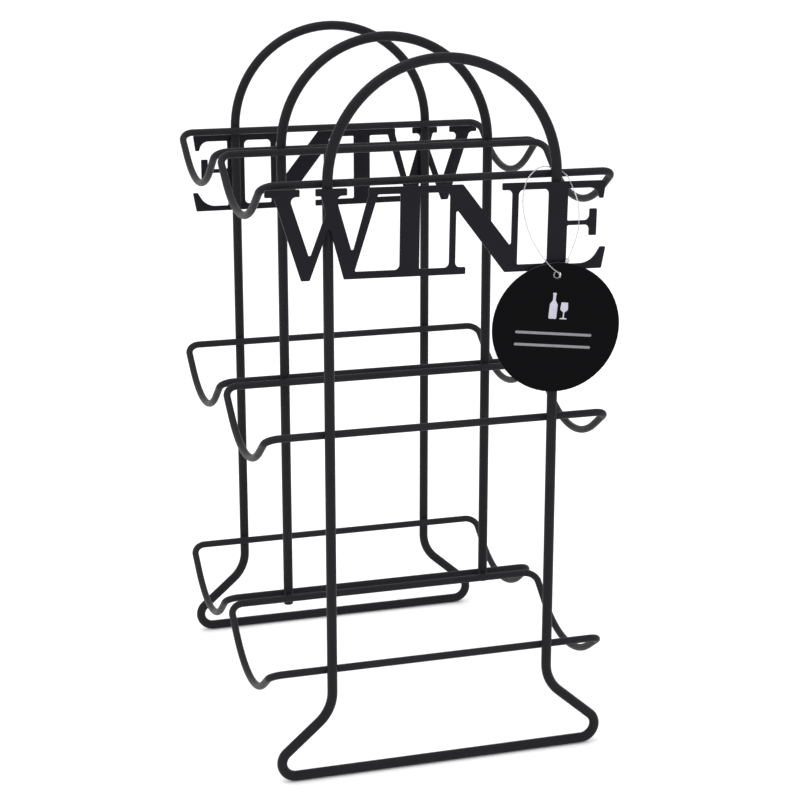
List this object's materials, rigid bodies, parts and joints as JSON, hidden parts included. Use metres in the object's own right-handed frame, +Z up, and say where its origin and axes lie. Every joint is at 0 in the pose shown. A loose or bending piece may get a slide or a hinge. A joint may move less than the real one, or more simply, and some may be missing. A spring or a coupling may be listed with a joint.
{
  "type": "wine rack",
  "caption": "Free-standing welded wire rack with tiered cradles that hold wine bottles lying down, arched uprights, flared feet, cut-out word plates and a round hang tag",
  "frame": {"origin": "on the floor, midway between the uprights and midway between the front and back arches", "axes": "+Z up, the bottles lie along X, the front with the tag faces -Y, +X to the right when looking at the front"},
  "size_m": [0.19, 0.2367, 0.382],
  "materials": {
    "frame_paint": "satin black powder coat on 5.4 mm steel wire",
    "cradle_paint": "satin black powder coat on 4 mm steel wire",
    "plate_paint": "satin black powder coat on 1.2 mm steel sheet",
    "tag_card": "matte black laminated card",
    "loop_nylon": "clear nylon monofilament"
  },
  "bodies": {
    "rack": {"front_arch": "frame_paint", "middle_arch": "frame_paint", "back_arch": "frame_paint", "cradle_top_front": "cradle_paint", "cradle_top_back": "cradle_paint", "cradle_middle_front": "cradle_paint", "cradle_middle_back": "cradle_paint", "cradle_bottom_front": "cradle_paint", "cradle_bottom_back": "cradle_paint", "word_plate_front": "plate_paint", "word_plate_back": "plate_paint", "tag_loop": "loop_nylon"},
    "tag": {"hang_tag": "tag_card", "loop_bead": "loop_nylon"}
  },
  "joints": [
    {"name": "tag_swing", "type": "hinge", "parent": "rack", "child": "tag", "pos_m": [0.055, -0.1155, 0.3165], "axis": [-1, 0, 0], "range_deg": [0, 75], "deforming": ["tag_loop"]}
  ]
}
